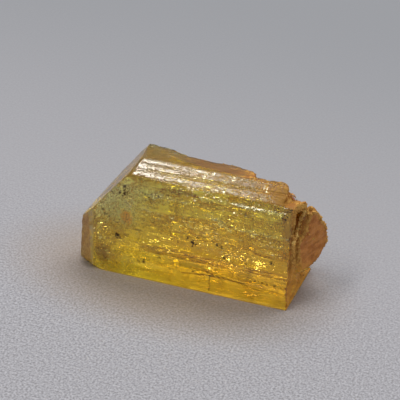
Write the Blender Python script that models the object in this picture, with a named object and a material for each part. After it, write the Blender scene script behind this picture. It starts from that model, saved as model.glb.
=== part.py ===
"""A natural topaz crystal lying on its side, in metres.

A striated prism of rhombic section with rounded shoulders, a slanted and bevelled end at -X, a broken
back, and a stepped cleavage break at +X with a plate of crystal left standing on it.
"""

import math
from collections import namedtuple

import bmesh
import bpy
from mathutils import Matrix, Vector

MM = 0.001
NODE_NAME = "crystal"

# Driving sizes in millimetres, in the crystal's working frame: X along the length with the broken end at
# x = 0, Y from the front face to the back, Z up from the resting face.
FAR_END = -28.1
BLANK_END = -30.0
FRONT_LEAN_DEG = 5.0
FRONT_HEIGHT = 14.85
HEIGHT = 16.3
RIDGE_DEPTH = 3.45
SHOULDER_DROPS = ((0.30, 0.62), (0.62, 0.30))

# The back is broken, so its outline changes along the length. Each station gives the depth and height of
# the crease where the top face ends, then those of the rim, the shoulder, the waist and the heel, and
# last the foot's depth.
Station = namedtuple(
    "Station", "x crease_y crease_z rim_y rim_z shoulder_y shoulder_z waist_y waist_z heel_y heel_z foot_y"
)
STATIONS = (
    Station(BLANK_END, 4.8, 16.32, 6.5, 16.3, 7.4, 13.2, 9.2, 7.6, 10.3, 2.4, 9.5),
    Station(-22.4, 4.8, 16.32, 6.6, 16.3, 7.7, 13.0, 9.6, 7.2, 10.7, 2.2, 9.7),
    Station(-20.1, 5.0, 16.33, 6.8, 16.3, 7.5, 13.6, 9.3, 7.8, 10.5, 2.9, 9.2),
    Station(-17.3, 5.1, 16.35, 6.75, 16.25, 7.7, 13.1, 9.8, 7.1, 11.0, 2.6, 9.6),
    Station(-16.5, 4.9, 16.34, 6.5, 16.1, 7.6, 13.4, 9.7, 7.6, 10.8, 2.2, 9.8),
    Station(-14.9, 4.6, 16.33, 6.75, 15.75, 7.8, 12.7, 9.4, 7.0, 10.5, 2.5, 9.5),
    Station(-12.1, 4.2, 16.30, 6.85, 15.5, 7.7, 13.0, 9.5, 6.6, 10.7, 3.0, 9.4),
    Station(-9.6, 4.1, 16.32, 6.95, 15.55, 7.9, 12.6, 9.3, 7.3, 10.4, 2.4, 9.7),
    Station(-8.0, 4.0, 16.30, 6.7, 15.5, 7.6, 12.9, 9.4, 6.9, 10.6, 2.1, 9.6),
    Station(-6.2, 3.9, 16.30, 6.4, 15.55, 7.4, 13.0, 9.2, 6.4, 10.3, 2.7, 9.3),
    Station(-5.6, 3.9, 16.31, 4.45, 16.3, 6.2, 12.4, 8.9, 6.8, 10.3, 2.5, 9.4),
    Station(-3.9, 3.9, 16.28, 4.4, 16.25, 6.0, 12.8, 8.9, 6.2, 10.0, 2.2, 9.2),
    Station(-2.3, 4.0, 16.31, 4.65, 16.3, 5.9, 12.5, 8.5, 6.6, 9.9, 2.6, 9.3),
    Station(-0.95, 3.8, 16.22, 4.3, 16.2, 5.7, 12.3, 8.4, 6.3, 9.8, 2.4, 9.2),
)

# The shelf in front of the top step: the same outline, broken away lower, out to the cleavage.
STEP_X = -0.8
SHELF_BAND = ((1.95, 14.95), (2.7, 14.85), (4.1, 14.2))
SHELF_STATIONS = (
    Station(STEP_X, 4.9, 13.85, 5.6, 13.4, 7.2, 11.2, 8.5, 6.3, 9.8, 2.4, 9.2),
    Station(1.4, 4.9, 13.75, 5.7, 13.1, 7.3, 10.9, 8.6, 6.0, 9.6, 2.2, 9.1),
)

# Planes that shape the slanted end: a point on each, and its outward direction.
END_PLANES = (
    ("slanted face", (-26.2, 0.76, 8.67), (-0.780, 0.030, 0.625)),
    ("narrow strip", (-25.88, 0.40, 4.5), (-0.345, -0.935, 0.080)),
    ("side sliver", (-26.54, 0.68, 4.5), (-0.595, -0.800, 0.050)),
    ("end face", (FAR_END, 2.4, 4.0), (-0.992, 0.100, 0.060)),
    ("hidden lower face", (-26.4, 3.2, 8.7), (-0.800, 0.550, 0.220)),
    ("hidden upper face", (-23.6, 5.9, 12.1), (-0.600, 0.750, 0.340)),
    ("chipped front corner", (-24.9, 0.0, 0.0), (-0.316, -0.590, -0.743)),
    ("chipped back corner", (-24.2, 9.0, 0.0), (-0.420, 0.560, -0.714)),
)

# Planes of the cleavage break at +X.
CLEAVAGE_PLANES = (
    ("basal cleavage", (0.55, 5.0, 3.0), (0.9965, -0.048, -0.068)),
    ("chipped front edge", (0.04, 0.0, 7.0), (0.955, -0.290, 0.010)),
    ("chipped back edge", (0.35, 8.6, 5.0), (0.700, 0.660, 0.270)),
)

# The hollow broken out between the front face and the standing plate, as (y, z) corners.
HOLLOW_OUTLINE = ((1.45, 10.7), (2.6, 10.2), (4.3, 11.2), (5.3, 12.1), (4.9, 12.8), (3.4, 13.4), (2.0, 13.8))
HOLLOW_FLOOR_X = -0.65
HOLLOW_MOUTH_X = 2.5
HOLLOW_FLARE = 0.25

# The plate that stands on the break: its outline as (y, z) corners, and the plane of its cleavage face.
PLATE_OUTLINE = (
    (1.35, 8.8), (1.9, 9.9), (2.9, 10.8), (3.5, 11.9), (3.7, 13.2), (4.75, 13.35), (5.85, 12.3), (6.65, 10.8),
    (7.0, 9.75), (7.6, 9.3), (7.95, 7.7), (7.55, 6.1), (7.0, 4.8), (6.15, 3.9), (4.5, 3.55), (2.6, 4.1),
    (1.75, 6.2),
)
PLATE_CENTRE = (4.7, 8.4)
PLATE_ROOT_X = -1.5
PLATE_FACE_POINT = (0.5, 1.0)
PLATE_FACE_SLOPE = 0.385
PLATE_RIM_DROP = 0.42
PLATE_RIM_INSET = 0.86

# Shell-shaped chips: centre, radii and the turn about X of each scoop, in millimetres and degrees.
Chip = namedtuple("Chip", "name centre radii turn_deg")
CHIPS = (
    Chip("upper_back", (-18.6, 8.6, 17.3), (2.1, 1.5, 1.9), 30.0),
    Chip("middle_back", (-11.2, 9.6, 14.0), (3.4, 2.2, 2.6), 25.0),
    Chip("lower_back", (-4.6, 11.6, 5.4), (2.8, 1.9, 2.6), 10.0),
    Chip("far_corner", (-29.0, 3.4, 2.2), (1.3, 1.5, 1.7), 0.0),
    Chip("far_edge", (-28.75, 2.2, 6.2), (0.9, 0.8, 0.9), 0.0),
    Chip("break_back", (2.2, 10.8, 9.6), (2.4, 2.3, 2.2), 0.0),
)
CHIP_SUBDIVISIONS = 3

GOLD = (0.62, 0.42, 0.06, 1.0)
POLISH = 0.12
REFRACTION = 1.62


def clear_scene():
    """Removes whatever the scene holds."""
    for item in list(bpy.data.objects):
        bpy.data.objects.remove(item, do_unlink=True)


def topaz_material():
    """Clear golden topaz with a natural, nearly glassy face."""
    material = bpy.data.materials.new("topaz")
    material.use_nodes = True
    shader = material.node_tree.nodes["Principled BSDF"]
    shader.inputs["Base Color"].default_value = GOLD
    shader.inputs["Roughness"].default_value = POLISH
    shader.inputs["Metallic"].default_value = 0.0
    shader.inputs["IOR"].default_value = REFRACTION
    shader.inputs["Transmission Weight"].default_value = 1.0
    return material


def add_object(name, bm):
    """Turns a bmesh built in millimetres into an object in metres."""
    bmesh.ops.recalc_face_normals(bm, faces=bm.faces[:])
    bmesh.ops.scale(bm, vec=(MM, MM, MM), verts=bm.verts[:])
    mesh = bpy.data.meshes.new(name)
    bm.to_mesh(mesh)
    bm.free()
    thing = bpy.data.objects.new(name, mesh)
    bpy.context.scene.collection.objects.link(thing)
    return thing


def add_helper(name, bm):
    """A cutter or a block to be joined on: not a piece of its own."""
    helper = add_object(name, bm)
    helper.hide_render = True
    helper.display_type = "WIRE"
    return helper


def combine(target, helper, operation):
    """Cuts away, or joins on, a helper."""
    boolean = target.modifiers.new(helper.name, "BOOLEAN")
    boolean.object = helper
    boolean.operation = operation
    boolean.solver = "EXACT"


def front_band():
    """The front face's top edge and the rounded band above it, as (y, z) points."""
    top_of_front = (FRONT_HEIGHT * math.tan(math.radians(FRONT_LEAN_DEG)), FRONT_HEIGHT)
    run = RIDGE_DEPTH - top_of_front[0]
    rise = HEIGHT - top_of_front[1]
    band = [
        (top_of_front[0] + run * along, top_of_front[1] + rise * (1.0 - fall))
        for along, fall in SHOULDER_DROPS
    ]
    return [top_of_front] + band + [(RIDGE_DEPTH, HEIGHT)]


def outline(station, band):
    """The closed outline of one section: front face, band, top face, broken back and resting face."""
    back = [
        (station.crease_y, station.crease_z),
        (station.rim_y, station.rim_z),
        (station.shoulder_y, station.shoulder_z),
        (station.waist_y, station.waist_z),
        (station.heel_y, station.heel_z),
        (station.foot_y, 0.0),
    ]
    return [Vector((station.x, y, z)) for y, z in [(0.0, 0.0)] + band + back]


def loft(rings):
    """Skins a row of outlines with the same number of points, and closes both ends."""
    bm = bmesh.new()
    rows = [[bm.verts.new(point) for point in ring] for ring in rings]
    count = len(rows[0])
    for near, far in zip(rows, rows[1:]):
        for i in range(count):
            j = (i + 1) % count
            bm.faces.new((near[i], near[j], far[j], far[i]))
    bm.faces.new(rows[0])
    bm.faces.new(rows[-1])
    return bm


def slice_off(bm, point, outward):
    """Breaks away what lies outside a plane and closes the cut with a flat face."""
    parts = bm.verts[:] + bm.edges[:] + bm.faces[:]
    cut = bmesh.ops.bisect_plane(bm, geom=parts, plane_co=point, plane_no=outward, clear_outer=True)
    rim = [part for part in cut["geom_cut"] if isinstance(part, bmesh.types.BMEdge)]
    bmesh.ops.edgeloop_fill(bm, edges=rim)


def build_prism():
    """The prism from its slanted end to the flat part of the break."""
    band = front_band()
    top_of_front = band[0]
    shelf_band = [top_of_front] + list(SHELF_BAND)
    rings = [outline(station, band) for station in STATIONS]
    rings += [outline(station, shelf_band) for station in SHELF_STATIONS]
    bm = loft(rings)
    for _, point, outward in CLEAVAGE_PLANES + END_PLANES:
        slice_off(bm, point, outward)
    return add_object(NODE_NAME, bm)


def face_x(y):
    """Where the plate's cleavage face lies along the crystal, at a depth y."""
    start_x, start_y = PLATE_FACE_POINT
    return start_x + (y - start_y) * PLATE_FACE_SLOPE


def build_plate():
    """The plate left standing on the break, with a sloping rim round its flat face."""
    root = [Vector((PLATE_ROOT_X, y, z)) for y, z in PLATE_OUTLINE]
    rim = [Vector((face_x(y) - PLATE_RIM_DROP, y, z)) for y, z in PLATE_OUTLINE]
    face = []
    for y, z in PLATE_OUTLINE:
        inner_y = PLATE_CENTRE[0] + (y - PLATE_CENTRE[0]) * PLATE_RIM_INSET
        inner_z = PLATE_CENTRE[1] + (z - PLATE_CENTRE[1]) * PLATE_RIM_INSET
        face.append(Vector((face_x(inner_y), inner_y, inner_z)))
    return add_helper("plate", loft([root, rim, face]))


def build_hollow():
    """The cutter of the hollow beside the plate, a little wider at its mouth."""
    middle_y = sum(y for y, _ in HOLLOW_OUTLINE) / len(HOLLOW_OUTLINE)
    middle_z = sum(z for _, z in HOLLOW_OUTLINE) / len(HOLLOW_OUTLINE)
    floor = [Vector((HOLLOW_FLOOR_X, y, z)) for y, z in HOLLOW_OUTLINE]
    flare = 1.0 + HOLLOW_FLARE
    mouth = [
        Vector((HOLLOW_MOUTH_X, middle_y + (y - middle_y) * flare, middle_z + (z - middle_z) * flare))
        for y, z in HOLLOW_OUTLINE
    ]
    return add_helper("hollow", loft([floor, mouth]))


def build_chip(chip):
    """The cutter of one shell-shaped chip."""
    bm = bmesh.new()
    place = Matrix.Translation(chip.centre)
    place = place @ Matrix.Rotation(math.radians(chip.turn_deg), 4, "X")
    place = place @ Matrix.Diagonal((*chip.radii, 1.0))
    bmesh.ops.create_icosphere(bm, subdivisions=CHIP_SUBDIVISIONS, radius=1.0, matrix=place)
    return add_helper("chip_" + chip.name, bm)


def settle(thing):
    """Bakes the cuts into the mesh and puts the origin under the middle of the crystal."""
    graph = bpy.context.evaluated_depsgraph_get()
    finished = bpy.data.meshes.new_from_object(thing.evaluated_get(graph))
    thing.modifiers.clear()
    thing.data = finished
    points = [vertex.co for vertex in finished.vertices]
    low = Vector([min(point[axis] for point in points) for axis in range(3)])
    high = Vector([max(point[axis] for point in points) for axis in range(3)])
    middle = (low + high) / 2
    finished.transform(Matrix.Translation((-middle.x, -middle.y, -low.z)))


def build_crystal():
    """The whole crystal, as one solid."""
    crystal = build_prism()
    helpers = [(build_hollow(), "DIFFERENCE"), (build_plate(), "UNION")]
    helpers += [(build_chip(chip), "DIFFERENCE") for chip in CHIPS]
    for helper, operation in helpers:
        combine(crystal, helper, operation)
    settle(crystal)
    for helper, _ in helpers:
        bpy.data.objects.remove(helper, do_unlink=True)
    crystal.data.materials.clear()
    crystal.data.materials.append(topaz_material())


clear_scene()
build_crystal()
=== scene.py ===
import math

import bmesh
import bpy
import numpy as np
from mathutils import Matrix, Vector
from mathutils.bvhtree import BVHTree


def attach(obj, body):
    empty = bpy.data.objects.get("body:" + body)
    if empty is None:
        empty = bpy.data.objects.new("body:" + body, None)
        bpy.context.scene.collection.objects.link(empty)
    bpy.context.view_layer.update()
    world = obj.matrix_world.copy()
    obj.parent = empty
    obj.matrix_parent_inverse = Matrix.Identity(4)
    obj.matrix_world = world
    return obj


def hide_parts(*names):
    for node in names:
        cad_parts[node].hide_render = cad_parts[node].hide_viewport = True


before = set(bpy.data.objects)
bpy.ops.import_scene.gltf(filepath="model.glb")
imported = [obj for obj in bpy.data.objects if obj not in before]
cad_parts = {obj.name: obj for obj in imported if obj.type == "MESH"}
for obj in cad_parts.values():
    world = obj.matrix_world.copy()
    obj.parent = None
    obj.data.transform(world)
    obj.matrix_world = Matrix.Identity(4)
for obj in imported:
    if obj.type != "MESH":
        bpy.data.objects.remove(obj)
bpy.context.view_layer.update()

# The crystal: one clear golden topaz that grew as a prism along X. Growth left fine lines along its long
# faces, the slanted end grew smooth, the back is rough, and at +X it was snapped from its matrix along the
# cleavage. Places are in millimetres from the front corner beside that break.
MM = 0.001
CORNER = np.array((12.764, -5.5, 0.0))
GRID_DEPTH = 8
GRID_SCALE = 0.86
CELL_PRIMES = np.array((73856093, 19349663, 83492791))
SEED_PRIME = 7919
STIRRING = ((13, 1274126177), (16, 668265263))
LEAN_BITS = (8, 18, 28)
LEAN_TOP = 1023
NOISE_GAIN = 2.2
LAYER_SHIFT = 17.31


def lattice(points, seed):
    """Smooth noise from about -1 to 1 at points counted in cells, the same on every run."""
    cell = np.floor(points).astype(np.int64)
    along = points - cell
    eased = along * along * (3 - 2 * along)
    total = np.zeros(len(points))
    for corner in np.ndindex(2, 2, 2):
        weight = np.prod(np.where(corner, eased, 1 - eased), axis=1)
        stirred = (cell + np.array(corner)) @ CELL_PRIMES + seed * SEED_PRIME
        for shift, factor in STIRRING:
            stirred = (stirred ^ (stirred >> shift)) * factor
        lean = np.stack([((stirred >> bit) & LEAN_TOP) * 2 / LEAN_TOP - 1 for bit in LEAN_BITS], axis=1)
        total += weight * np.sum(lean * (along - np.array(corner)), axis=1)
    return total * NOISE_GAIN


def cloud(points, size, seed, octaves=1):
    """Layered noise from -1 to 1, with features of a size in millimetres, along each axis."""
    scaled = points / np.asarray(size)
    total = np.zeros(len(points))
    for octave in range(octaves):
        total += lattice(scaled * 2**octave + LAYER_SHIFT * octave, seed + octave) / 2**octave
    return total / (2 - 0.5 ** (octaves - 1))


def rise(values, low, high):
    """0 below low, 1 above high, and a smooth slope between them."""
    along = np.clip((values - low) / (high - low), 0, 1)
    return along * along * (3 - 2 * along)


def ledges(height, tread, riser):
    """Turns a smooth height into flat treads, with a riser over part of each."""
    level = height / tread
    return (np.floor(level) + rise(level % 1, 1 - riser, 1)) * tread


cad_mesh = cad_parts["crystal"].data
body = bpy.data.objects.new("crystal_body", cad_mesh.copy())
bpy.context.scene.collection.objects.link(body)
even = body.modifiers.new("even_grid", "REMESH")
even.mode = "SHARP"
even.octree_depth = GRID_DEPTH
even.scale = GRID_SCALE
even.sharpness = 1.0
even.use_remove_disconnected = False
graph = bpy.context.evaluated_depsgraph_get()
grid = bpy.data.meshes.new_from_object(body.evaluated_get(graph))
body.modifiers.clear()
body.data = grid
body.data.materials.clear()

places = np.empty(len(grid.vertices) * 3)
grid.vertices.foreach_get("co", places)
places = places.reshape(-1, 3)
ends = np.empty(len(grid.edges) * 2, dtype=np.int32)
grid.edges.foreach_get("vertices", ends)
ends = ends.reshape(-1, 2)
neighbours = np.bincount(ends.ravel(), minlength=len(places))

# Each point of the grid is put back on the solid's own faces, and takes its facing from them.
solid = BVHTree.FromPolygons([v.co for v in cad_mesh.vertices], [f.vertices[:] for f in cad_mesh.polygons])
facing = np.empty_like(places)
for index, place in enumerate(places):
    spot, normal, _, _ = solid.find_nearest(Vector(place))
    places[index] = spot
    facing[index] = normal
spots = places / MM - CORNER
along_x, depth_y, height_z = spots.T


def relief(height, size, seed, octaves=1):
    """Noise of a height over the surface, with features of a size, all in millimetres."""
    return height * cloud(spots, size, seed, octaves)


def soften(values, rounds):
    """Spreads values over the surface, a grid cell a round."""
    for _ in range(rounds):
        columns = []
        for column in np.atleast_2d(values.T):
            near = np.bincount(ends[:, 0], column[ends[:, 1]], len(places))
            near += np.bincount(ends[:, 1], column[ends[:, 0]], len(places))
            columns.append(0.5 * column + 0.5 * near / neighbours)
        values = np.array(columns).T.reshape(values.shape)
    return values


def facing_mask(direction, closeness, where=True):
    """1 where the solid faces a direction, blended over its edges."""
    direction = np.array(direction) / np.linalg.norm(direction)
    return soften(((facing @ direction > closeness) & where).astype(float), 2)


# Which way each face of the crystal looks. The shoulder is the rounded band over the front face, the slivers
# and the strip are the narrow faces at its lower left, the plate and the seam stand in the break.
FRONT_WAY = (0.0, -0.996, 0.087)
SHOULDER_WAY = (0.0, -0.56, 0.83)
TOP_WAY = (0.0, 0.0, 1.0)
RIM_WAY = (0.0, 0.3, 0.95)
SLANT_WAY = (-0.780, 0.030, 0.625)
FAR_END_WAY = (-1.0, 0.0, 0.0)
BREAK_WAY = (1.0, 0.0, 0.0)
PLATE_WAY = (0.933, -0.359, 0.0)
SEAM_WAY = (0.955, -0.290, 0.010)
BACK_WAY = (0.0, 1.0, 0.0)
SLIVER_WAYS = ((-0.595, -0.800, 0.050), (-0.992, 0.100, 0.060))
STRIP_WAY = (-0.345, -0.935, 0.080)
SHOULDER_FOOT = 13.9
TOP_FOOT = 13.0
RIM_FOOT = 15.0
STRIP_START = -20.0
BREAK_START = -0.85
PLATE_START = 0.3
SEAM_START = -1.5
HOLLOW_FLOOR = (9.6, 10.4)
SHOULDER_LINES_START = (-19.0, -12.0)
front = facing_mask(FRONT_WAY, closeness=0.97)
over_shoulder_foot = (height_z > SHOULDER_FOOT) & (facing[:, 1] < -0.2)
shoulder = facing_mask(SHOULDER_WAY, closeness=0.86, where=over_shoulder_foot)
top = facing_mask(TOP_WAY, closeness=0.9, where=height_z > TOP_FOOT)
over_rim_foot = (facing[:, 1] > 0.12) & (height_z > RIM_FOOT)
rim_slope = facing_mask(RIM_WAY, closeness=0.9, where=over_rim_foot)
slant = facing_mask(SLANT_WAY, closeness=0.97)
far_end = facing_mask(FAR_END_WAY, closeness=0.3) * (1 - slant)
split = facing_mask(BREAK_WAY, closeness=0.25)
plate_face = facing_mask(PLATE_WAY, closeness=0.985, where=along_x > PLATE_START)
back = facing_mask(BACK_WAY, closeness=0.22) * (1 - rim_slope)
sliver = facing_mask(SLIVER_WAYS[0], closeness=0.975) + facing_mask(SLIVER_WAYS[1], closeness=0.99)
strip = facing_mask(STRIP_WAY, closeness=0.985, where=along_x < STRIP_START)
snapped_end = soften(((along_x > BREAK_START) & (facing[:, 1] > -0.9)).astype(float), 3)
hollow = snapped_end * rise(height_z, *HOLLOW_FLOOR) * (1 - plate_face)
lined_shoulder = 0.36 * shoulder * (0.45 + 0.55 * rise(along_x, *SHOULDER_LINES_START))
long_faces = np.clip(0.7 * front + lined_shoulder + 0.6 * top + 0.5 * rim_slope, 0, 1)

blended = soften(facing, 3)
blend_length = np.linalg.norm(blended, axis=1)
outward = blended / blend_length[:, None]
sharp_edge = rise(1 - blend_length, 0.01, 0.12)

# Growth lines run along the prism, with a low step across the front face and grooves in the shoulder.
LOWER_STEP = ((-12.4, 3.3), (-11.5, 3.2), (-6.1, 2.5), (-0.2, 2.1))
LOWER_STEP_DEPTH = 0.07
LOWER_STEP_START = (-13.4, -11.8)
GROOVE_END = 21.0
GROOVES = ((1.86, 0.07, -0.060, 0.03), (2.08, 0.07, -0.060, 0.03), (3.40, 0.12, 0.060, 0.0))
growth_lines = relief(0.024, (22.0, 0.55, 0.55), 11) + relief(0.012, (9.0, 0.26, 0.26), 12)
growth_lines += ledges(relief(0.14, (16.0, 1.5, 1.5), 13, 2), tread=0.035, riser=0.3)
growth_lines += relief(0.020, (6.0, 2.6, 2.6), 14)
step_height = np.interp(along_x, *np.array(LOWER_STEP).T)
lower_step = rise(step_height - height_z, -0.08, 0.08) * rise(along_x, *LOWER_STEP_START)
grooves = np.zeros(len(places))
for middle, width, height, drift in GROOVES:
    offset = depth_y - middle - drift * (along_x + GROOVE_END)
    grooves += height * np.exp(-((offset / width) ** 2))
amount = long_faces * growth_lines - front * LOWER_STEP_DEPTH * lower_step
amount += np.maximum(shoulder, top) * grooves

# The back broke in hackly steps, the break in long terraces, and its plate in shallow ripples.
HACKLE_INSET = 0.18
HACKLE_REACH = (-0.85, 0.2)
RIM_INSET = 0.04
TERRACE_INSET = 0.12
TERRACE_REACH = (-0.6, 0.15)
hackle = ledges(relief(0.60, (3.8, 2.2, 2.8), 21, 2), tread=0.15, riser=0.35)
hackle += relief(0.08, 0.9, 22, 2) - HACKLE_INSET
amount += back * np.clip(hackle, *HACKLE_REACH)
amount += rim_slope * (relief(0.10, (1.4, 0.8, 0.8), 23, 2) - RIM_INSET)
terraces = ledges(relief(0.6, (9.0, 1.7, 2.1), 31, 3), tread=0.13, riser=0.2) - TERRACE_INSET
terraces += relief(0.05, 0.45, 32, 2)
shell_ripples = relief(0.05, (1.7, 1.7, 1.1), 33) + relief(0.02, 0.5, 34)
amount += split * ((1 - plate_face) * np.clip(terraces, *TERRACE_REACH) + plate_face * shell_ripples)
amount += slant * relief(0.035, (3.0, 3.0, 3.0), 41) + far_end * relief(0.07, 1.1, 42, 2)

# Sharp edges are worn and nicked, and thin walls and the resting face keep their plain shape.
EDGE_WEAR = 0.05
NICK_DEPTH = 0.24
JUST_UNDER = 0.02 * MM
FULLY_THICK = 9.0
THIN_WALL = (0.1, 1.6)
RESTING_HEIGHT = 0.35
nicks = rise(cloud(spots, (0.9, 0.7, 0.7), 51, 2), 0.0, 0.5)
amount -= sharp_edge * (EDGE_WEAR + NICK_DEPTH * nicks) * (1 - 0.5 * front) * (1 - 0.6 * plate_face)
amount += sharp_edge * (soften(amount, 3) - amount)
thickness = np.full(len(places), FULLY_THICK)
for index, (place, way) in enumerate(zip(places, outward)):
    distance = solid.ray_cast(Vector(place - way * JUST_UNDER), Vector(-way))[3]
    if distance is not None:
        thickness[index] = distance / MM
amount *= soften(rise(thickness, *THIN_WALL), 3) * rise(height_z, 0.0, RESTING_HEIGHT)
places += outward * amount[:, None] * MM

# The slanted end is turned a little more to the front than its plain face, about its front edge.
SLANT_TURN = 0.07
SLANT_BACK_EDGE = 9.5
SLANT_FOOT = (5.3, 7.5)
NEAR_SLANT = (-1.2, -0.1)
slant_height = spots @ np.array(SLANT_WAY)
slant_height -= np.median(slant_height[slant > 0.9])
near_slant = rise(slant_height, *NEAR_SLANT) * rise(height_z, *SLANT_FOOT)
places[:, 0] -= SLANT_TURN * near_slant * np.clip(depth_y, 0, SLANT_BACK_EDGE) * MM
places[:, 2] = np.maximum(places[:, 2], 0)
grid.vertices.foreach_set("co", places.ravel())
grid.polygons.foreach_set("use_smooth", np.ones(len(grid.polygons), dtype=bool))
grid.update()

# Maps on the surface for its finish: how polished it is, and where it is broken, crushed, crusted or worn,
# where shade is painted over the open hollow and its seam, and where light is painted on the hollow's near
# wall.
PLAIN_ROUGHNESS = 0.16
BREAK_SIDE = (-2.5, -1.2)
SMOOTH_FOOT = (4.5, 7.0)
WEAR_START = (-18.5, -9.0)
WORN_GOLD_START = (-14.0, -4.0)
RIM_CRUST_START = (-18.0, -13.0)
SHOULDER_CRUST_START = (-6.0, -1.0)
RING_ROUNDS = 12
INNER_RING_ROUNDS = 60
NEAR_WALL_DEPTH = 3.2
patches = cloud(spots, (3.0, 1.2, 1.2), 61, 2)
ragged_x = along_x + 2.5 * patches
shoulder_wear = rise(ragged_x, *WEAR_START)
polish = np.full(len(places), PLAIN_ROUGHNESS)
for mask, roughness in (
    (front, 0.02 + 0.03 * rise(patches, 0.1, 0.5)),
    (shoulder, 0.09 + 0.12 * shoulder_wear + 0.03 * patches),
    (top, 0.20 + 0.08 * patches),
    (rim_slope, 0.38),
    (slant, 0.12),
    (strip, 0.32),
    (sliver, 0.36),
    (back, 0.52 + 0.08 * patches),
    (split, 0.50 + 0.08 * patches),
    (plate_face, 0.34),
):
    polish = polish * (1 - mask) + roughness * mask
break_side = split * rise(along_x, *BREAK_SIDE)
smooth_foot = 1 - rise(height_z, *SMOOTH_FOOT)
plate_ring = np.clip(2.2 * soften(plate_face, RING_ROUNDS), 0, 1) * (1 - plate_face) * (1 - front)
inner_ring = rise(0.94 - soften(plate_face, INNER_RING_ROUNDS) + 0.16 * patches, 0.0, 0.25)
plate_ring += plate_face * inner_ring * rise(height_z - 0.9 * depth_y, 0.0, 4.0)
seam = facing_mask(SEAM_WAY, closeness=0.97, where=along_x > SEAM_START) * (1 - plate_face)
grit_patches = 0.35 + 0.65 * rise(cloud(spots, 1.0, 63, 2), -0.3, 0.3)
crushing = soften(sharp_edge * np.clip(break_side + snapped_end * (1 - hollow), 0, 1), 3) * grit_patches
crushing = np.clip((crushing + plate_ring * (0.4 + 0.6 * grit_patches)) * (1 - 0.6 * seam), 0, 1)
crushing *= 1 - 0.8 * smooth_foot
plate_face = plate_face * (1 - 0.8 * plate_ring)
sliver = np.clip(sliver, 0, 1)
worn_gold = rise(ragged_x, *WORN_GOLD_START)
crust = crushing.copy()
for share, mask in (
    (0.60, plate_face),
    (0.60 + 0.30 * cloud(spots, 1.6, 62, 2), break_side * (1 - plate_face)),
    (0.90, hollow),
    (0.30, seam),
    (0.10, rim_slope * rise(along_x, *RIM_CRUST_START)),
    (0.45, top * worn_gold),
    (0.34, shoulder * worn_gold),
    (0.28, shoulder * rise(along_x + patches, *SHOULDER_CRUST_START)),
    (0.42, sliver),
    (0.40, strip),
):
    crust += share * mask
# Painted shade: the hollow's walls that are open to view are painted darker brown.
hollow_painted_shade = soften(hollow * (facing[:, 1] < 0.3) * (facing[:, 2] > -0.3), 1)
# Painted light: the hollow's wall behind the front face and its ceiling, seen only through the stone, are
# painted bright gold and mirror-like so that they read as lit.
painted_light_faces = (facing[:, 1] > 0.5) & (depth_y < NEAR_WALL_DEPTH) | (facing[:, 2] < -0.3)
SURFACE_MAPS = {
    "polish": np.clip(polish, 0.02, 0.6),
    "broken": np.clip(back + split + 0.8 * rim_slope, 0, 1),
    "snapped": break_side,
    "crust": np.clip(crust, 0, 1),
    "crushing": crushing,
    # Painted shade: darker brown paint over the open hollow and along the seam beside it.
    "hollow": np.clip(hollow_painted_shade + 0.7 * seam, 0, 1),
    # Painted light: bright gold, mirror-like paint on the hollow's near wall and ceiling.
    "painted_light_wall": soften(hollow * painted_light_faces, 1),
    "sliver": sliver,
    "strip": strip,
    "grown": long_faces,
    "rim": rim_slope,
    "plate": plate_face,
    "worn": shoulder * (0.25 + 0.75 * shoulder_wear) + 0.6 * top,
}
for name, values in SURFACE_MAPS.items():
    grid.attributes.new(name, "FLOAT", "POINT").data.foreach_set("value", values)


class Flow:
    """A value or colour on its way through a material: arithmetic on it adds the nodes."""

    def __init__(self, tree, socket=None):
        self.tree = tree
        self.socket = socket

    def node(self, kind, settings=None, sockets=None, out=0):
        """Adds a node: its settings are made first, then its sockets get their values or links."""
        made = self.tree.nodes.new("ShaderNode" + kind)
        for name, value in (settings or {}).items():
            setattr(made, name, value)
        for name, value in (sockets or {}).items():
            if isinstance(value, Flow):
                self.tree.links.new(value.socket, made.inputs[name])
            else:
                made.inputs[name].default_value = value
        return Flow(self.tree, made.outputs[out])

    def sum_up(self, operation, first, second=0.0):
        """One step of arithmetic on two values."""
        return self.node("Math", {"operation": operation}, {0: first, 1: second})

    def __add__(self, other):
        return self.sum_up("ADD", self, other)

    __radd__ = __add__

    def __sub__(self, other):
        return self.sum_up("SUBTRACT", self, other)

    def __rsub__(self, other):
        return self.sum_up("SUBTRACT", other, self)

    def __mul__(self, other):
        return self.sum_up("MULTIPLY", self, other)

    __rmul__ = __mul__

    def rise(self, low, high):
        """0 below low, 1 above high, and a smooth slope between them."""
        settings = {"interpolation_type": "SMOOTHSTEP"}
        return self.node("MapRange", settings, {"Value": self, "From Min": low, "From Max": high})

    def blend(self, first, second):
        """The first colour where this is 0, the second where it is 1."""
        return self.node("Mix", {"data_type": "RGBA"}, {0: self, 6: first, 7: second}, 2)

    def part(self, axis):
        """One of the three coordinates of this place."""
        return self.node("SeparateXYZ", None, {0: self}, axis)

    def stretched(self, size):
        """This place, counted in cells of a size in millimetres along each axis."""
        return self.node("VectorMath", {"operation": "DIVIDE"}, {0: self, 1: size})

    def far_from(self, middle, reach):
        """How far this place is from a middle, counted in its reach along each axis."""
        around = self.node("VectorMath", {"operation": "SUBTRACT"}, {0: self, 1: middle}).stretched(reach)
        return around.node("VectorMath", {"operation": "LENGTH"}, {0: around}, 1)

    def noise(self, size, detail=2.0, roughness=0.5):
        """Layered noise from 0 to 1 with features of a size in millimetres along each axis."""
        sockets = {"Vector": self.stretched(size), "Scale": 1.0, "Detail": detail, "Roughness": roughness}
        return self.node("TexNoise", None, sockets)


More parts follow.
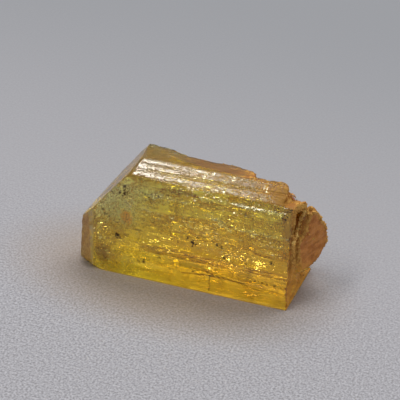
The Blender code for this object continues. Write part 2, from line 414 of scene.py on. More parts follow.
def start_material(name):
    """A new material: its own shader, and the place on the crystal in millimetres from its corner."""
    material = bpy.data.materials.new(name)
    material.use_nodes = True
    shader = material.node_tree.nodes["Principled BSDF"]
    ground = Flow(material.node_tree)
    metres = ground.node("TexCoord", None, None, "Object")
    grown = metres.node("VectorMath", {"operation": "SCALE"}, {0: metres, "Scale": 1 / MM})
    spot = grown.node("VectorMath", {"operation": "SUBTRACT"}, {0: grown, 1: CORNER})
    return material, shader, spot


def feed(shader, name, value):
    """Links a flow to a socket of the shader, or sets a plain value on it."""
    if isinstance(value, Flow):
        value.tree.links.new(value.socket, shader.inputs[name])
    else:
        shader.inputs[name].default_value = value


# Clear topaz, deepest in colour low down and near the break, palest in the upper corner by the slanted end.
TOPAZ_IOR = 1.62
LOW_GOLDS = ((1.0, 0.61, 0.16, 1), (1.0, 0.84, 0.22, 1))
HIGH_GOLDS = ((1.0, 0.95, 0.40, 1), (0.95, 1.0, 0.92, 1))
ABSORBED = {"Color": (1.0, 0.93, 0.0, 1), "Density": 210.0}
GOLD_HEIGHTS = (3.0, 14.0)
GOLD_LENGTHS = (-26.0, -9.0)
RIM_TINT_START = (-17.0, -13.0)
topaz, shader, spot = start_material("golden_topaz")
maps = {name: spot.node("Attribute", {"attribute_name": name}, None, "Fac") for name in SURFACE_MAPS}
drift = spot.noise((6.0, 3.0, 3.0)) - 0.5
upward = (spot.part("Z") + drift * 5.0).rise(*GOLD_HEIGHTS)
leftward = 1 - (spot.part("X") + drift * 6.0).rise(*GOLD_LENGTHS)
blotches = spot.noise((1.2, 1.2, 1.2), detail=3.0)
tinted = upward.blend(leftward.blend(*LOW_GOLDS), leftward.blend(*HIGH_GOLDS))
for share, tint in (
    (maps["broken"] * blotches * (0.8 - leftward * upward * 0.7), (0.96, 0.78, 0.34, 1)),
    (maps["snapped"] * (0.35 + blotches * 0.9), (0.82, 0.50, 0.20, 1)),
    (maps["rim"] * spot.part("X").rise(*RIM_TINT_START), (0.76, 0.44, 0.16, 1)),
    (maps["plate"] * 0.9, (0.62, 0.28, 0.10, 1)),
    (maps["sliver"] * 0.8, (0.72, 0.46, 0.24, 1)),
):
    tinted = share.blend(tinted, tint)
feed(shader, "Base Color", tinted)
feed(shader, "IOR", TOPAZ_IOR)
feed(shader, "Transmission Weight", 1.0)
smears = spot.noise((1.6, 0.25, 0.25), detail=3.0) - 0.5
feed(shader, "Roughness", maps["polish"] + smears * 0.05)

# Fine lines along the grown faces, pits where they are worn, crumbly grain where the stone is broken.
BUMP_HEIGHT = 0.03 * MM
GROOVE_EDGE = (0.02, 0.09)
LONG_LINE = 0.28
SHORT_LINE = 0.08
PIT_DEPTH = 1.3
GRAIN_HEIGHT = 2.0
GROOVE_DEPTH = 4.0
long_lines = spot.noise((3.0, 0.16, 0.16))
short_lines = spot.noise((0.9, 0.10, 0.10), detail=1.0)
pitting = spot.noise((0.42, 0.22, 0.22), roughness=0.6).rise(0.50, 0.66)
crumble = spot.noise((0.22, 0.22, 0.22), detail=3.0, roughness=0.65)
bumps = (long_lines * LONG_LINE + short_lines * SHORT_LINE) * maps["grown"]
bumps = bumps - pitting * maps["worn"] * PIT_DEPTH + crumble * maps["broken"] * GRAIN_HEIGHT
for middle, _, _, drift_along in GROOVES[:2]:
    offset = spot.part("Y") - (middle + GROOVE_END * drift_along) - spot.part("X") * drift_along
    in_groove = 1 - offset.sum_up("ABSOLUTE", offset).rise(*GROOVE_EDGE)
    bumps = bumps - maps["grown"] * in_groove * GROOVE_DEPTH
bump = spot.node("Bump", None, {"Strength": 1.0, "Distance": BUMP_HEIGHT, "Height": bumps})
feed(shader, "Normal", bump)

# The matt crust of crushed and weathered topaz that covers part of the break, the shoulder and the slivers;
# over the open hollow and its seam it carries painted shade, and on the hollow's near wall painted light.
GRITTY_GOLDS = ((0.44, 0.15, 0.024, 1), (0.72, 0.41, 0.085, 1))
PLATE_BROWNS = ((0.42, 0.125, 0.020, 1), (0.70, 0.28, 0.065, 1))
PAINTED_LIGHT_WALL_GOLDS = ((1.0, 0.60, 0.14, 1), (1.0, 0.76, 0.26, 1))
CRUST_COVER = 0.92
CRUST_SHINE = 0.15
DARK_WEAR_START = (-7.0, -1.0)
grit = spot.noise((0.50, 0.50, 0.50), detail=4.0, roughness=0.75)
crust_gold = (grit + maps["crushing"] * 0.22 + maps["worn"] * 0.08).rise(0.50, 0.68).blend(*GRITTY_GOLDS)
plate_brown = spot.noise((1.4, 1.4, 0.8), detail=3.0, roughness=0.6).rise(0.35, 0.65).blend(*PLATE_BROWNS)
for share, tint in (
    (maps["snapped"] * (1 - spot.part("Z").rise(*SMOOTH_FOOT)) * 0.7, (0.86, 0.40, 0.06, 1)),
    (maps["worn"] * spot.part("X").rise(*DARK_WEAR_START) * 0.9, (0.31, 0.15, 0.024, 1)),
    # Painted shade: darker brown over the open hollow and along its seam.
    (maps["hollow"] * 0.7, (0.34, 0.13, 0.025, 1)),
    # Painted light: the hollow's near wall and ceiling are painted bright gold so they read as lit.
    (maps["painted_light_wall"], blotches.rise(0.4, 0.6).blend(*PAINTED_LIGHT_WALL_GOLDS)),
    (maps["plate"] * 0.85, plate_brown),
    (maps["sliver"] * 0.9, (0.34, 0.17, 0.075, 1)),
    (maps["strip"] * 0.9, (0.50, 0.46, 0.30, 1)),
):
    crust_gold = share.blend(crust_gold, tint)
matt_crust = spot.node("BsdfPrincipled", None, {
    "Base Color": crust_gold, "Roughness": 0.45 + grit * 0.3, "Metallic": maps["painted_light_wall"] * 0.85,
    "Specular IOR Level": CRUST_SHINE, "Normal": bump,
})
crushed_share = (grit + maps["crust"] * 1.6 - 1.0).rise(0.0, 0.45)
glassy = Flow(topaz.node_tree, shader.outputs[0])
surface = spot.node("MixShader", None, {0: crushed_share * CRUST_COVER, 1: glassy, 2: matt_crust})
absorption = spot.node("VolumeAbsorption", None, ABSORBED)
outlet = topaz.node_tree.nodes["Material Output"]
topaz.node_tree.links.new(surface.socket, outlet.inputs["Surface"])
topaz.node_tree.links.new(absorption.socket, outlet.inputs["Volume"])
body.data.materials.append(topaz)
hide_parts("crystal")
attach(body, "root")

# Growth tubes and healed veils: threads and films of fluid, sealed in as the crystal grew and lying along
# it. Each is a thin closed spindle or leaf, pale and silky, and they catch the light inside the stone.
SCATTER_SEED = 4205
SILK_GOLDS = ((1.0, 0.84, 0.34, 1), (1.0, 0.95, 0.58, 1))
SPINDLE = np.array(((1, 0, 0), (-1, 0, 0), (0, 1, 0), (0, -1, 0), (0, 0, 1), (0, 0, -1)), dtype=float)
SPINDLE_FACES = ((0, 2, 4), (2, 1, 4), (1, 3, 4), (3, 0, 4), (2, 0, 5), (1, 2, 5), (3, 1, 5), (0, 3, 5))
WAYS_OUT = (Vector((0.1, 0.2, 1.0)), Vector((-1.0, 0.1, 0.1)), Vector((0.1, 1.0, -0.2)))
LEFT_OUT = -99.0
BEFORE_FRONT = -2.0
DEEPEST_FRONT = 3.6
skin = BVHTree.FromPolygons(places.tolist(), [f.vertices[:] for f in grid.polygons])


def well_inside(centres, margin):
    """True for the places, in millimetres from the corner, that lie deep enough under the surface."""
    kept = []
    for centre in centres:
        metres = Vector((centre + CORNER) * MM)
        inside = skin.find_nearest(metres)[3] > margin * MM
        for way in WAYS_OUT:
            normal = skin.ray_cast(metres, way)[1]
            inside = inside and normal is not None and normal.dot(way) > 0
        kept.append(inside)
    return np.array(kept)


def turned(leans, spins):
    """Axes of solids that lie along X, each leaning by two angles and spun about its own length."""
    first = np.stack([np.ones(len(leans)), leans[:, 0], leans[:, 1]], axis=1)
    first /= np.linalg.norm(first, axis=1)[:, None]
    side = np.cross((0.0, 0.0, 1.0), first)
    side /= np.linalg.norm(side, axis=1)[:, None]
    rest = np.cross(first, side)
    second = side * np.cos(spins)[:, None] + rest * np.sin(spins)[:, None]
    third = np.cross(first, second)
    return np.stack([first, second, third], axis=2)


def behind_front(across, heights, depths):
    """Places at depths behind the surface, seen level from the front, in millimetres from the corner."""
    found = []
    for x, z, depth in zip(across, heights, depths):
        start = Vector((np.array((x, BEFORE_FRONT, z)) + CORNER) * MM)
        met, _, _, _ = skin.ray_cast(start, Vector((0.0, 1.0, 0.0)))
        surface = LEFT_OUT if met is None else met.y / MM - CORNER[1]
        found.append((x, surface + depth if surface < DEEPEST_FRONT else LEFT_OUT, z))
    return np.array(found)


def small_solids(name, centres, axes, sizes, material, margin=0.0, ragged=0.0):
    """One piece made of small closed solids, given in millimetres, at least a margin under the surface."""
    kept = centres[:, 1] > BEFORE_FRONT
    if margin:
        reach = axes[:, :, 0] * sizes[:, :1]
        kept &= well_inside(centres, margin)
        for tips in (centres - reach, centres + reach):
            kept &= well_inside(tips, 0)
    centres, axes, sizes = centres[kept], axes[kept], sizes[kept]
    uneven = 1 + ragged * draw.uniform(-1, 1, (len(centres), len(SPINDLE), 1))
    shapes = np.einsum("nij,nmj->nmi", axes, SPINDLE[None] * sizes[:, None, :] * uneven)
    corners = ((centres[:, None, :] + shapes + CORNER) * MM).reshape(-1, 3)
    starts = range(0, len(corners), len(SPINDLE))
    faces = [tuple(start + c for c in face) for start in starts for face in SPINDLE_FACES]
    mesh = bpy.data.meshes.new(name)
    mesh.from_pydata(corners.tolist(), [], faces)
    mesh.materials.append(material)
    piece = bpy.data.objects.new(name, mesh)
    bpy.context.scene.collection.objects.link(piece)
    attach(piece, "root")


silk, shader, spot = start_material("silky_fluid")
cloudy = spot.noise((1.5, 0.6, 0.6))
feed(shader, "Base Color", cloudy.blend(*SILK_GOLDS))
feed(shader, "Roughness", 0.10 + cloudy * 0.2)
feed(shader, "Metallic", 0.85)

# A film at the lit spin and lean mirrors the near lamp to the camera from inside the stone.
draw = np.random.default_rng(SCATTER_SEED)
LIT_SPIN = 1.04
LIT_LEAN = 0.037
STEEP_SPIN = 0.46
FRONT_LENGTH = (-26.5, 0.0)
FRONT_HEIGHT = (0.4, 15.8)
CLEAR_START = (16.0, 20.0)
CLEAR_FOOT = (7.0, 9.5)


def thread_field(count, deepest, length, thickness):
    """Places, axes and sizes of threads along the crystal, crowded into patches, few in its clear corner."""
    across = draw.uniform(*FRONT_LENGTH, count)
    heights = draw.uniform(*FRONT_HEIGHT, count)
    depths = 0.06 + deepest * draw.uniform(0, 1, count) ** 1.5
    centres = behind_front(across, heights, depths)
    crowding = cloud(centres, (6.0, 3.0, 1.7), 71, 2)
    clear_corner = rise(-centres[:, 0], *CLEAR_START) * rise(centres[:, 2], *CLEAR_FOOT)
    kept = crowding - 0.8 * clear_corner > draw.uniform(-0.35, 0.35, count)
    centres = centres[kept]
    total = len(centres)
    wide = thickness[0] + (thickness[1] - thickness[0]) * draw.uniform(0, 1, total) ** 2
    sizes = np.stack([draw.uniform(*length, total) * draw.uniform(0.5, 1, total), wide, wide * 0.5], axis=1)
    axes = turned(draw.normal(0, 0.03, (total, 2)), draw.uniform(STEEP_SPIN, LIT_SPIN + 0.2, total))
    return centres, axes, sizes


deep_threads = thread_field(2000, deepest=5.5, length=(0.20, 1.0), thickness=(0.018, 0.060))
near_threads = thread_field(1700, deepest=0.5, length=(0.08, 0.60), thickness=(0.016, 0.050))
threads = [np.concatenate(parts) for parts in zip(deep_threads, near_threads)]
small_solids("growth_tubes", *threads, silk, margin=0.04)

# Silvery veils: healed cracks whose pale films lie in lines just under the front face and along its top
# edge. Each film is a thin closed leaf that faces the light. A row of VEILS is a line's two ends, its spread
# and its films.
VEIL_SILVERS = ((1.0, 0.88, 0.48, 1), (1.0, 0.96, 0.74, 1))
VEIL_THICKNESS = 0.012
VEILS = (
    ((-11.1, 11.4), (-8.4, 10.7), 0.30, 60), ((-7.8, 10.3), (-3.6, 10.3), 0.22, 46),
    ((-3.6, 10.3), (-0.3, 10.4), 0.18, 40), ((-9.6, 10.7), (-7.6, 10.0), 0.25, 40),
    ((-7.4, 13.75), (-3.8, 13.65), 0.13, 80), ((-3.8, 13.6), (-0.8, 13.5), 0.18, 40),
    ((-12.5, 13.2), (-7.4, 13.9), 0.22, 50), ((-21.6, 10.9), (-20.8, 10.2), 0.30, 26),
    ((-19.8, 10.3), (-15.2, 9.9), 0.12, 26), ((-14.4, 12.4), (-13.2, 12.6), 0.16, 26),
    ((-18.6, 12.5), (-15.0, 12.6), 0.45, 60), ((-15.5, 9.0), (-9.5, 9.4), 0.9, 90),
    ((-25.4, 5.6), (-23.6, 2.0), 0.45, 26), ((-18.4, 5.9), (-15.4, 5.4), 0.18, 26),
    ((-12.0, 8.5), (-8.0, 8.2), 0.35, 40), ((-4.8, 8.6), (-1.0, 8.9), 0.30, 40),
    ((-5.0, 9.7), (-0.8, 9.3), 0.12, 26), ((-3.6, 7.9), (-0.9, 7.6), 0.25, 26),
)
veil, shader, spot = start_material("silvery_film")
feed(shader, "Base Color", spot.noise((0.5, 0.5, 0.5)).blend(*VEIL_SILVERS))
feed(shader, "Roughness", 0.14 + spot.noise((0.3, 0.3, 0.3)) * 0.24)
feed(shader, "Metallic", 0.7)
veil_across = []
veil_heights = []
for (start_x, start_z), (end_x, end_z), spread, count in VEILS:
    along = draw.uniform(0, 1, count)
    veil_across.append(start_x + (end_x - start_x) * along)
    veil_heights.append(start_z + (end_z - start_z) * along + draw.normal(0, spread * 0.6, count))
veil_across = np.concatenate(veil_across)
veil_heights = np.concatenate(veil_heights)
films = len(veil_across)
film_spots = behind_front(veil_across, veil_heights, draw.uniform(0.01, 0.16, films))
film_sizes = np.stack([
    0.07 + 0.34 * draw.uniform(0, 1, films) ** 2,
    draw.uniform(0.03, 0.09, films),
    np.full(films, VEIL_THICKNESS),
], axis=1)
film_axes = turned(draw.normal(-0.02, 0.06, (films, 2)), LIT_SPIN + draw.normal(0, 0.22, films))
small_solids("silvery_veils", film_spots, film_axes, film_sizes, veil, ragged=0.3)

# Etch glints: tiny steps left by etching along the front face's top edge and on the rounded band above it,
# tilted enough to flash white. Each is a thin closed leaf that lies in the surface.
OPEN_SPIN = 0.59
OPEN_LEAN = 0.084
GLINT_THICKNESS = 0.007
GLINT_SIDES = ((0.05, 0.025), (0.22, 0.06))
GLINTS = (
    ((-7.9, 13.75), (-0.9, 13.88), 0.09, 90), ((-13.6, 14.75), (-8.6, 14.95), 0.16, 70),
    ((-7.2, 13.74), (-3.6, 13.80), 0.12, 80),
    ((-11.9, 15.85), (-11.7, 15.8), 0.16, 12), ((-10.9, 16.2), (-10.6, 16.2), 0.12, 12),
    ((-8.3, 16.15), (-7.8, 16.15), 0.14, 16), ((-4.3, 15.95), (-3.6, 15.95), 0.14, 16),
    ((-14.4, 13.5), (-8.0, 14.1), 0.25, 40), ((-13.0, 15.6), (-2.0, 15.8), 0.40, 34),
    ((-9.0, 12.4), (-4.0, 12.9), 0.30, 16), ((-26.0, 5.9), (-25.6, 5.5), 0.10, 5),
)
glints = []
for (start_x, start_z), (end_x, end_z), spread, count in GLINTS:
    for _ in range(count):
        along = draw.uniform(0, 1)
        glint_z = start_z + (end_z - start_z) * along + draw.normal(0, spread)
        sides = draw.uniform(*GLINT_SIDES) * draw.uniform(0.5, 1)
        glints.append((start_x + (end_x - start_x) * along, glint_z, 0.0, *sides, GLINT_THICKNESS))
glints = np.array(glints)
glint_spots = behind_front(*glints[:, :3].T)
glint_leans = draw.normal((0.0, OPEN_LEAN), 0.05, (len(glints), 2))
glint_axes = turned(glint_leans, OPEN_SPIN + draw.normal(0, 0.16, len(glints)))
small_solids("etch_glints", glint_spots, glint_axes, glints[:, 3:], veil, ragged=0.3)

# Milky haze: clouds of the finest fluid films, pale greenish grey in the corner by the slanted end and
# yellower near the break. Each film is a thin closed leaf behind the front face. A row of HAZES is a cloud's
# middle and spread along X and Z, its films, and how deep the deepest lies.
PALE_HAZE = (0.88, 0.90, 0.64, 1)
YELLOW_HAZE = (1.0, 0.86, 0.30, 1)
END_HAZE = (1.0, 0.68, 0.18, 1)
RUSTY_PATCHES = (
    ((-21.5, 0.0, 8.5), (0.85, 9.0, 1.2), (1.0, 0.62, 0.15, 1)),
    ((-24.6, 0.0, 2.6), (1.5, 9.0, 1.5), (0.34, 0.15, 0.03, 1)),
)
HAZES = (
    (-22.8, 10.2, 2.2, 1.7, 5200, 0.8), (-18.5, 12.6, 1.8, 0.6, 900, 0.8), (-3.0, 11.4, 1.9, 1.5, 3000, 0.8),
    (-9.0, 10.6, 2.4, 0.7, 600, 0.8), (-3.4, 8.6, 1.8, 0.7, 1000, 0.8), (-0.4, 12.0, 0.28, 1.2, 1800, 0.3),
    (-21.5, 8.5, 0.6, 0.7, 700, 0.5), (-24.6, 2.6, 0.8, 1.0, 1700, 0.6), (-21.5, 2.4, 2.2, 1.0, 700, 0.8),
)
HAZE_SIZES = ((0.03, 0.018, 0.004), (0.10, 0.045, 0.006))
PATCH_STRAYING = 2.4
PATCH_EDGE = (0.5, 1.3)
haze, shader, spot = start_material("milky_film")
haze_side = (spot.part("X").rise(-20.0, -12.0) + 1 - spot.part("Z").rise(4.0, 8.0)).rise(0.0, 1.0)
hazy = spot.part("X").rise(-1.8, -0.8).blend(haze_side.blend(PALE_HAZE, YELLOW_HAZE), END_HAZE)
straying = (spot.noise((0.7, 0.7, 0.5), detail=3.0, roughness=0.7) - 0.5) * PATCH_STRAYING
for patch_middle, patch_reach, patch_colour in RUSTY_PATCHES:
    patch = 1 - (spot.far_from(patch_middle, patch_reach) + straying).rise(*PATCH_EDGE)
    hazy = (patch * 0.95).blend(hazy, patch_colour)
feed(shader, "Base Color", hazy)
feed(shader, "Roughness", 0.36 + spot.noise((0.5, 0.5, 0.5)) * 0.2)
feed(shader, "Metallic", 0.6)
films = []
for middle_x, middle_z, spread_x, spread_z, count, deepest in HAZES:
    spread_over = draw.normal((middle_x, middle_z), (spread_x, spread_z), (count, 2))
    film_depths = draw.uniform(0.2 * deepest, deepest, (count, 1))
    film_sizes = draw.uniform(*HAZE_SIZES, (count, 3))
    films.append(np.hstack([spread_over, film_depths, film_sizes]))
films = np.concatenate(films)
haze_spots = behind_front(*films[:, :3].T)
haze_leans = draw.normal((0.0, LIT_LEAN), 0.08, (len(films), 2))
haze_axes = turned(haze_leans, LIT_SPIN - 0.03 + draw.normal(0, 0.18, len(films)))
small_solids("milky_haze", haze_spots, haze_axes, films[:, 3:], haze, margin=0.03, ragged=0.3)

# Bright flakes: flat fluid films and tiny cleavage cracks that mirror the light, most of them low down near
# the break. Each is a thin closed leaf. A row is a cloud's middle and spread along X and Z, its flakes, and
# how unsteadily they are turned.
FLAKE_GOLDS = ((1.0, 0.92, 0.46, 1), (1.0, 1.0, 0.84, 1))
FLAKE_THICKNESS = 0.005
FLAKES_BELOW = 13.1
FLAKE_CLOUDS = (
    (-9.8, 6.6, 1.7, 0.8, 130, 0.5), (-6.8, 5.9, 1.0, 0.6, 150, 0.4), (-3.9, 5.5, 0.3, 0.3, 90, 0.1),
    (-5.2, 5.0, 2.6, 0.8, 140, 0.5), (-10.0, 4.3, 2.0, 0.5, 60, 0.5), (-24.8, 5.4, 1.0, 0.5, 30, 0.5),
    (-16.8, 5.5, 1.5, 0.4, 40, 0.4), (-9.6, 11.0, 1.8, 0.5, 60, 0.5), (-5.0, 10.3, 2.4, 0.4, 40, 0.5),
    (-14.0, 12.0, 2.6, 0.6, 46, 0.5), (-2.0, 8.6, 1.6, 0.8, 34, 0.5), (-13.5, 9.5, 3.0, 1.4, 36, 0.6),
    (-9.0, 7.0, 6.0, 2.6, 60, 0.6),
)
glint, shader, spot = start_material("bright_film")
warm = spot.noise((0.8, 0.8, 0.8))
feed(shader, "Base Color", warm.blend(*FLAKE_GOLDS))
feed(shader, "Roughness", 0.06 + warm * 0.16)
feed(shader, "Metallic", 0.9)
flake_across = []
flake_heights = []
flake_spins = []
flake_leans = []
for middle_x, middle_z, spread_x, spread_z, count, unsteady in FLAKE_CLOUDS:
    flake_across.append(draw.normal(middle_x, spread_x, count))
    flake_heights.append(draw.normal(middle_z, spread_z, count))
    flake_spins.append(LIT_SPIN + unsteady * draw.uniform(-1, 0.5, count))
    flake_leans.append(draw.normal((0.0, LIT_LEAN), 0.12 * unsteady, (count, 2)))
flake_across = np.concatenate(flake_across)
flake_heights = np.minimum(np.concatenate(flake_heights), FLAKES_BELOW)
flakes = len(flake_across)
flake_spots = behind_front(flake_across, flake_heights, 0.1 + 2.0 * draw.uniform(0, 1, flakes) ** 2)
flake_sizes = np.stack([
    0.05 + 0.24 * draw.uniform(0, 1, flakes) ** 2,
    0.03 + 0.10 * draw.uniform(0, 1, flakes) ** 2,
    np.full(flakes, FLAKE_THICKNESS),
], axis=1)
flake_axes = turned(np.concatenate(flake_leans), np.concatenate(flake_spins))
small_solids("bright_flakes", flake_spots, flake_axes, flake_sizes, glint, margin=0.05, ragged=0.3)

# Dark specks: grains of rock and iron oxide caught in the front face, single, in small groups or filling
# fine cracks. Each grain is a lumpy closed solid. A row of SPECKS is a group's place and size.
ORE_BROWNS = ((0.010, 0.004, 0.002, 1), (0.075, 0.016, 0.006, 1))
GROUP_GRAINS = 8
SPECKS = (
    (-4.1, 3.4, 0.16), (-3.3, 3.25, 0.17), (-2.6, 3.2, 0.14), (-1.6, 3.3, 0.18), (-0.6, 3.05, 0.16),
    (-21.8, 12.1, 0.36), (-21.7, 13.1, 0.22), (-23.4, 11.9, 0.15), (-18.4, 11.9, 0.20), (-24.6, 9.1, 0.18),
    (-24.4, 8.6, 0.16), (-23.7, 8.3, 0.13), (-25.7, 7.7, 0.13), (-22.5, 8.1, 0.13), (-22.6, 5.6, 0.32),
    (-17.8, 8.8, 0.17), (-13.3, 7.5, 0.20), (-12.6, 6.9, 0.32), (-12.0, 7.8, 0.15), (-9.4, 7.4, 0.18),
    (-8.9, 7.1, 0.17), (-8.4, 5.9, 0.20), (-19.8, 2.4, 0.18), (-19.1, 2.5, 0.22), (-16.9, 3.7, 0.15),
    (-12.5, 2.8, 0.13), (-5.9, 12.6, 0.18), (-1.9, 14.3, 0.22), (-0.9, 13.2, 0.24), (-2.2, 6.5, 0.22),
)
DUSTED_PARTS = (
    ((-26.0, 7.0), (-17.5, 14.0), 96), ((-20.0, 10.5), (-8.0, 13.6), 70), ((-26.0, 1.0), (-0.5, 15.5), 60),
)
CRACK_WIDTH = 0.05
CRACKS = (
    ((-10.2, 2.45), (-10.25, 0.30), 34, (0.08, 0.12)), ((-14.3, 2.2), (-11.4, 2.5), 26, (0.16, 0.05)),
    ((-11.4, 2.5), (-9.5, 2.7), 30, (0.16, 0.07)), ((-9.5, 2.7), (-5.7, 2.6), 40, (0.16, 0.05)),
)
ore, shader, spot = start_material("dark_grain")
rust = spot.noise((0.15, 0.15, 0.15))
feed(shader, "Base Color", rust.blend(*ORE_BROWNS))
feed(shader, "Roughness", 0.55 + rust * 0.3)
grains = []
for speck_x, speck_z, size in SPECKS:
    for _ in range(GROUP_GRAINS):
        shift_x, shift_z = draw.normal(0, size * 0.65, 2)
        lump = size * draw.uniform(0.25, 0.66, 3)
        grains.append((speck_x + shift_x, speck_z + shift_z, 0.3 * lump.min(), *lump))
for low_corner, high_corner, count in DUSTED_PARTS:
    for _ in range(count):
        grain_x, grain_z = draw.uniform(low_corner, high_corner)
        lump = 0.055 + 0.06 * draw.uniform(0, 1, 3) ** 2
        grains.append((grain_x, grain_z, 0.02, *lump))
for (start_x, start_z), (end_x, end_z), count, (long_side, thick) in CRACKS:
    for along in draw.uniform(0, 1, count):
        grain_x = start_x + (end_x - start_x) * along
        grain_z = start_z + (end_z - start_z) * along + draw.normal(0, 0.03)
        lump = draw.uniform(0.5, 1.1) * np.array((long_side, CRACK_WIDTH, thick))
        grains.append((grain_x, grain_z, 0.03, *lump))
grains = np.array(grains)
grain_spots = behind_front(*grains[:, :3].T)
grain_axes = turned(draw.normal(0, 1.0, (len(grains), 2)), draw.uniform(0, math.pi, len(grains)))
small_solids("dark_specks", grain_spots, grain_axes, grains[:, 3:], ore, ragged=0.4)

# Rusty stains: thin brown films in etched hollows and old cracks, under the shoulder, along the low step on
# the front face and in the corner by the slanted end. Each film is a thin closed leaf. A row is a line's
# ends, its spread, its films and their length.
RUSTS = ((0.20, 0.075, 0.022, 1), (0.42, 0.20, 0.06, 1))
STAIN_THICKNESS = 0.015
STAIN_SIDES = ((0.5, 0.15), (1.2, 0.4))
STAINS = (
    ((-16.9, 13.7), (-12.4, 13.9), 0.20, 90, 0.24), ((-14.3, 2.2), (-11.4, 2.5), 0.03, 44, 0.16),
    ((-11.4, 2.5), (-5.7, 2.6), 0.04, 70, 0.16), ((-11.5, 3.2), (-0.2, 2.1), 0.05, 46, 0.12),
    ((-10.2, 2.5), (-10.2, 0.3), 0.03, 30, 0.07), ((-10.9, 3.1), (-9.6, 2.7), 0.12, 40, 0.14),
    ((-21.7, 9.2), (-21.0, 8.1), 0.35, 16, 0.12), ((-26.0, 4.1), (-23.6, 1.4), 1.0, 70, 0.14),
    ((-17.6, 8.6), (-16.6, 7.8), 0.35, 36, 0.10), ((-9.0, 1.3), (-4.0, 0.8), 0.30, 24, 0.10),
)
stain, shader, spot = start_material("rusty_film")
feed(shader, "Base Color", spot.noise((0.4, 0.2, 0.2)).blend(*RUSTS))
feed(shader, "Roughness", 0.55 + spot.noise((0.2, 0.2, 0.2)) * 0.2)
films = []
for (start_x, start_z), (end_x, end_z), spread, count, length in STAINS:
    for _ in range(count):
        along = draw.uniform(0, 1)
        film_x = start_x + (end_x - start_x) * along + draw.normal(0, spread * 0.4)
        film_z = start_z + (end_z - start_z) * along + draw.normal(0, spread)
        film_depth = draw.uniform(0.0, 0.10)
        films.append((film_x, film_z, film_depth, *(length * draw.uniform(*STAIN_SIDES))))
films = np.array(films)
film_spots = behind_front(*films[:, :3].T)
film_axes = turned(draw.normal(0, 0.2, (len(films), 2)), math.pi / 2 + draw.normal(0, 0.4, len(films)))
film_sizes = np.column_stack([films[:, 3:], np.full(len(films), STAIN_THICKNESS)])
small_solids("rusty_stains", film_spots, film_axes, film_sizes, stain, ragged=0.4)

# Crumbs of the break: where the crystal was snapped off, its edges and steps are crushed to grains of topaz
# that still cling to it. Each crumb is a lumpy closed solid, sunk in the surface.
CRUMBS = 4200
CRUMB_GOLDS = ((0.42, 0.17, 0.03, 1), (0.70, 0.41, 0.10, 1))
CRUMB_ROUGHNESS = 0.5
SMALLEST_CRUMB = 0.035
CRUMB_GROWTH = 0.11
BREAK_CRUMB_GROWTH = 0.12
SUNK = 0.4
crushed, shader, spot = start_material("crushed_topaz")
dusty = spot.noise((0.6, 0.6, 0.6), detail=3.0, roughness=0.7)
feed(shader, "Base Color", dusty.rise(0.3, 0.7).blend(*CRUMB_GOLDS))
feed(shader, "Roughness", CRUMB_ROUGHNESS + dusty * 0.2)
feed(shader, "Specular IOR Level", CRUST_SHINE)
crumb_field = break_side * (1 - 0.95 * plate_face) + 0.05 * back + 0.25 * rim_slope * sharp_edge + crushing
crumb_field *= 0.25 + rise(cloud(spots, 1.3, 81, 2), -0.35, 0.35) + 0.8 * sharp_edge
crumb_field *= rise(height_z, 0.1, 0.5) * (1 - 0.75 * seam) * (1 - 0.9 * smooth_foot)
chosen = draw.choice(len(places), CRUMBS, p=crumb_field / crumb_field.sum())
crumb_growth = CRUMB_GROWTH + BREAK_CRUMB_GROWTH * snapped_end[chosen]
crumb_size = SMALLEST_CRUMB + crumb_growth * draw.uniform(0, 1, CRUMBS) ** 3
crumb_spots = places[chosen] / MM - CORNER - outward[chosen] * crumb_size[:, None] * SUNK
crumb_sizes = crumb_size[:, None] * draw.uniform(0.6, 1.3, (CRUMBS, 3))
crumb_axes = turned(draw.normal(0, 1.0, (CRUMBS, 2)), draw.uniform(0, math.pi, CRUMBS))
small_solids("crushed_crumbs", crumb_spots, crumb_axes, crumb_sizes, crushed, ragged=0.35)

# A crushed ridge: grains left in a slanting row, from the hollow under the shelf down to the foot of the
# plate, where a thin wall between the two broke away. Their gold is painted paler than that of the other
# crumbs, painted light that keeps them bright in the hollow's shade. A row of RIDGE_BENDS is the share of
# the grains that lie above a bend of the ridge, and the bend's place.
RIDGE_GRAINS = 420
RIDGE_SPREAD = 0.12
RIDGE_PAINTED_LIGHT_GOLDS = ((0.72, 0.38, 0.08, 1), (0.96, 0.70, 0.24, 1))
RIDGE_BENDS = (
    (0.0, (1.0, 3.7, 13.3)), (0.33, (0.5, 3.4, 11.7)), (0.6, (0.3, 2.7, 10.6)), (0.9, (0.4, 1.4, 10.0)),
    (1.0, (0.2, 1.2, 9.3)),
)
painted_light_grains, shader, spot = start_material("painted_light_grains")
dusty = spot.noise((0.5, 0.5, 0.5), detail=3.0, roughness=0.7)
feed(shader, "Base Color", dusty.rise(0.3, 0.7).blend(*RIDGE_PAINTED_LIGHT_GOLDS))
feed(shader, "Roughness", CRUMB_ROUGHNESS + dusty * 0.2)
feed(shader, "Specular IOR Level", CRUST_SHINE)
shares, bends = zip(*RIDGE_BENDS)
along = draw.uniform(0, 1, RIDGE_GRAINS)
ridge_spots = np.stack([np.interp(along, shares, line) for line in zip(*bends)], axis=1)
ridge_spots += draw.normal(0, RIDGE_SPREAD, (RIDGE_GRAINS, 3))
grain_size = 0.05 + 0.10 * draw.uniform(0, 1, (RIDGE_GRAINS, 1)) ** 2
ridge_sizes = grain_size * draw.uniform(0.6, 1.3, (RIDGE_GRAINS, 3))
ridge_axes = turned(draw.normal(0, 1.0, (RIDGE_GRAINS, 2)), draw.uniform(0, math.pi, RIDGE_GRAINS))
small_solids("crushed_ridge", ridge_spots, ridge_axes, ridge_sizes, painted_light_grains, ragged=0.35)

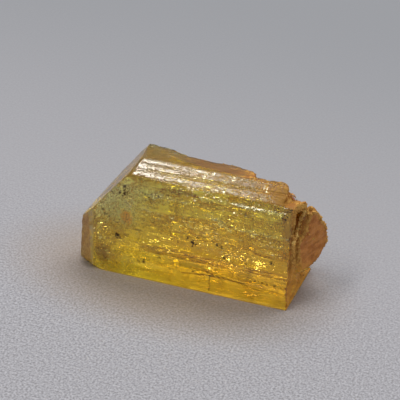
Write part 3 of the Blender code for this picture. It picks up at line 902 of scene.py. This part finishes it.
# The stage: a pale floor with a fine tooth, painted darker towards the back as a painted falloff of the
# light, with a painted warm glow beside and before the crystal and a painted shadow at its lower left
# corner; a softly lit room, a narrow soft lamp at the left before the crystal and a broad one behind it. The
# camera looks at the front face from above, as the photograph does.
FLOOR_RADIUS = 2.0
FLOOR_SIDES = 96
FLOOR_GAP = 0.03 * MM
NEAR_GREYS = ((0.22, 0.21, 0.22, 1), (0.44, 0.43, 0.448, 1))
PAINTED_FALLOFF_GREY = (0.235, 0.24, 0.252, 1)
NEAR_FLOOR = (-15.0, 25.0)
PAINTED_FALLOFF_DEPTHS = (5.0, 75.0)
PAINTED_PATCH_EDGE = (0.7, 1.8)
# Painted light on the floor: a warm glow painted beside and before the crystal, standing in for the light it
# casts through itself, and a dark painted shadow at its lower left corner.
PAINTED_FLOOR_GLOW_AND_SHADOW = (
    ((-16.0, 2.0, 0.0), (15.0, 8.0, 100.0), (0.28, 0.17, 0.06, 1), 0.42),
    ((-26.3, 1.0, 0.0), (1.2, 0.8, 100.0), (0.05, 0.035, 0.02, 1), 0.65),
)
floor_bm = bmesh.new()
bmesh.ops.create_circle(floor_bm, cap_ends=True, segments=FLOOR_SIDES, radius=FLOOR_RADIUS)
floor_mesh = bpy.data.meshes.new("floor")
floor_bm.to_mesh(floor_mesh)
floor_bm.free()
floor = bpy.data.objects.new("floor", floor_mesh)
bpy.context.scene.collection.objects.link(floor)
floor.location.z = -FLOOR_GAP
paint, shader, spot = start_material("floor_paint")
near = 1 - spot.part("Y").rise(*NEAR_FLOOR)
tooth = 0.5 + (spot.noise((0.28, 0.28, 0.28), roughness=0.6) - 0.5) * (0.5 + near * 2.4)
# The floor is painted darker towards the back: painted shade standing in for the lamps' light falling off.
painted = (spot.part("Y").rise(*PAINTED_FALLOFF_DEPTHS) * 0.8).blend(tooth.blend(*NEAR_GREYS), PAINTED_FALLOFF_GREY)
# Paints the warm glow and the dark shadow onto the floor.
for painted_patch_middle, painted_patch_reach, painted_patch_colour, strength in PAINTED_FLOOR_GLOW_AND_SHADOW:
    tint = 1 - spot.far_from(painted_patch_middle, painted_patch_reach).rise(*PAINTED_PATCH_EDGE)
    painted = (tint * strength).blend(painted, painted_patch_colour)
feed(shader, "Base Color", painted)
feed(shader, "Roughness", 0.9)
floor.data.materials.append(paint)

ROOM_COLOUR = (0.90, 0.94, 1.0, 1)
ROOM_STRENGTH = 0.35
world = bpy.data.worlds.new("room")
bpy.context.scene.world = world
world.use_nodes = True
world.node_tree.nodes["Background"].inputs["Color"].default_value = ROOM_COLOUR
world.node_tree.nodes["Background"].inputs["Strength"].default_value = ROOM_STRENGTH

LAMPS = (
    ("near_softbox", (-0.184, -0.16, 0.50), (0.078, 0.30), 1.20),
    ("far_softbox", (0.08, 0.24, 0.55), (0.60, 0.25), 2.75),
)
for name, lamp_place, lamp_size, power in LAMPS:
    lamp = bpy.data.lights.new(name, "AREA")
    lamp.shape = "RECTANGLE"
    lamp.size, lamp.size_y = lamp_size
    lamp.energy = power
    holder = bpy.data.objects.new(name, lamp)
    bpy.context.scene.collection.objects.link(holder)
    holder.location = lamp_place
    holder.rotation_euler = Vector((0, 0, -1)).rotation_difference(-Vector(lamp_place)).to_euler()

CAMERA_AZIMUTH = math.radians(19.745)
CAMERA_ELEVATION = math.radians(36.0)
CAMERA_DISTANCE = 0.250
LENS_MM = 180.0
SENSOR_MM = 36.0
FRAME_PX = 400
CORNER_PX = (285.6, 310.7)
level = math.cos(CAMERA_ELEVATION)
backward = Vector((
    math.sin(CAMERA_AZIMUTH) * level, -math.cos(CAMERA_AZIMUTH) * level, math.sin(CAMERA_ELEVATION)
))
rightward = Vector((math.cos(CAMERA_AZIMUTH), math.sin(CAMERA_AZIMUTH), 0.0))
upright = backward.cross(rightward)
focal_px = LENS_MM / SENSOR_MM * FRAME_PX
step = -backward + rightward * ((CORNER_PX[0] - FRAME_PX / 2) / focal_px)
step -= upright * ((CORNER_PX[1] - FRAME_PX / 2) / focal_px)
lens = bpy.data.cameras.new("photo_camera")
lens.lens = LENS_MM
lens.sensor_width = SENSOR_MM
lens.clip_start = 0.01
camera = bpy.data.objects.new("photo_camera", lens)
bpy.context.scene.collection.objects.link(camera)
turn = Matrix((rightward, upright, backward)).transposed().to_4x4()
camera.matrix_world = Matrix.Translation(Vector(CORNER * MM) - step * CAMERA_DISTANCE) @ turn
bpy.context.scene.camera = camera
bpy.context.scene.view_settings.view_transform = "Standard"
